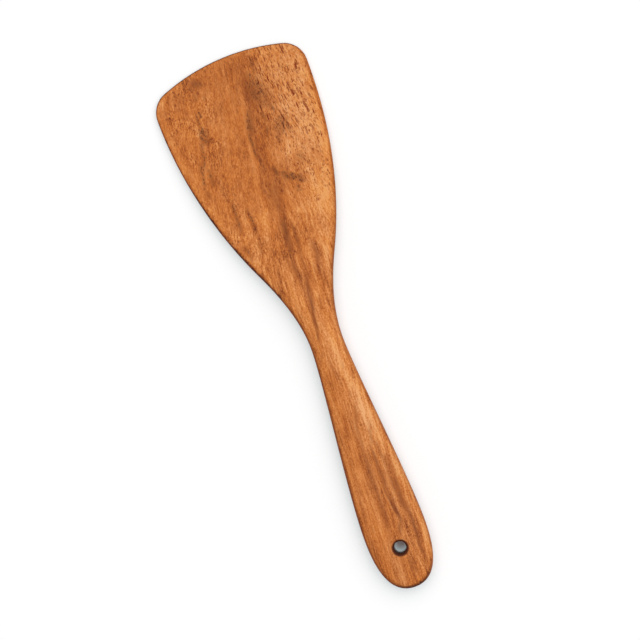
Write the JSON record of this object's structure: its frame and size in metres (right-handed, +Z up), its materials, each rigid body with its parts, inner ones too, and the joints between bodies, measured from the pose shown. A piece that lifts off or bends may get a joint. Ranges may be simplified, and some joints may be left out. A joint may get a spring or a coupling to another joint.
{
  "type": "wooden spatula",
  "caption": "Flat one-piece wooden turner with a broad tapered blade, a bowed slanted front edge, a slim neck and a swelling handle with a hanging hole.",
  "frame": {"origin": "middle of the length and width, on the flat underside that the spatula lies on", "axes": "+Y along the length from the handle to the blade, +X to the right seen from above, +Z up"},
  "size_m": [0.0878, 0.305, 0.011],
  "materials": {
    "wood": "satin oiled"
  },
  "bodies": {
    "root": {"spatula": "wood"}
  },
  "joints": []
}
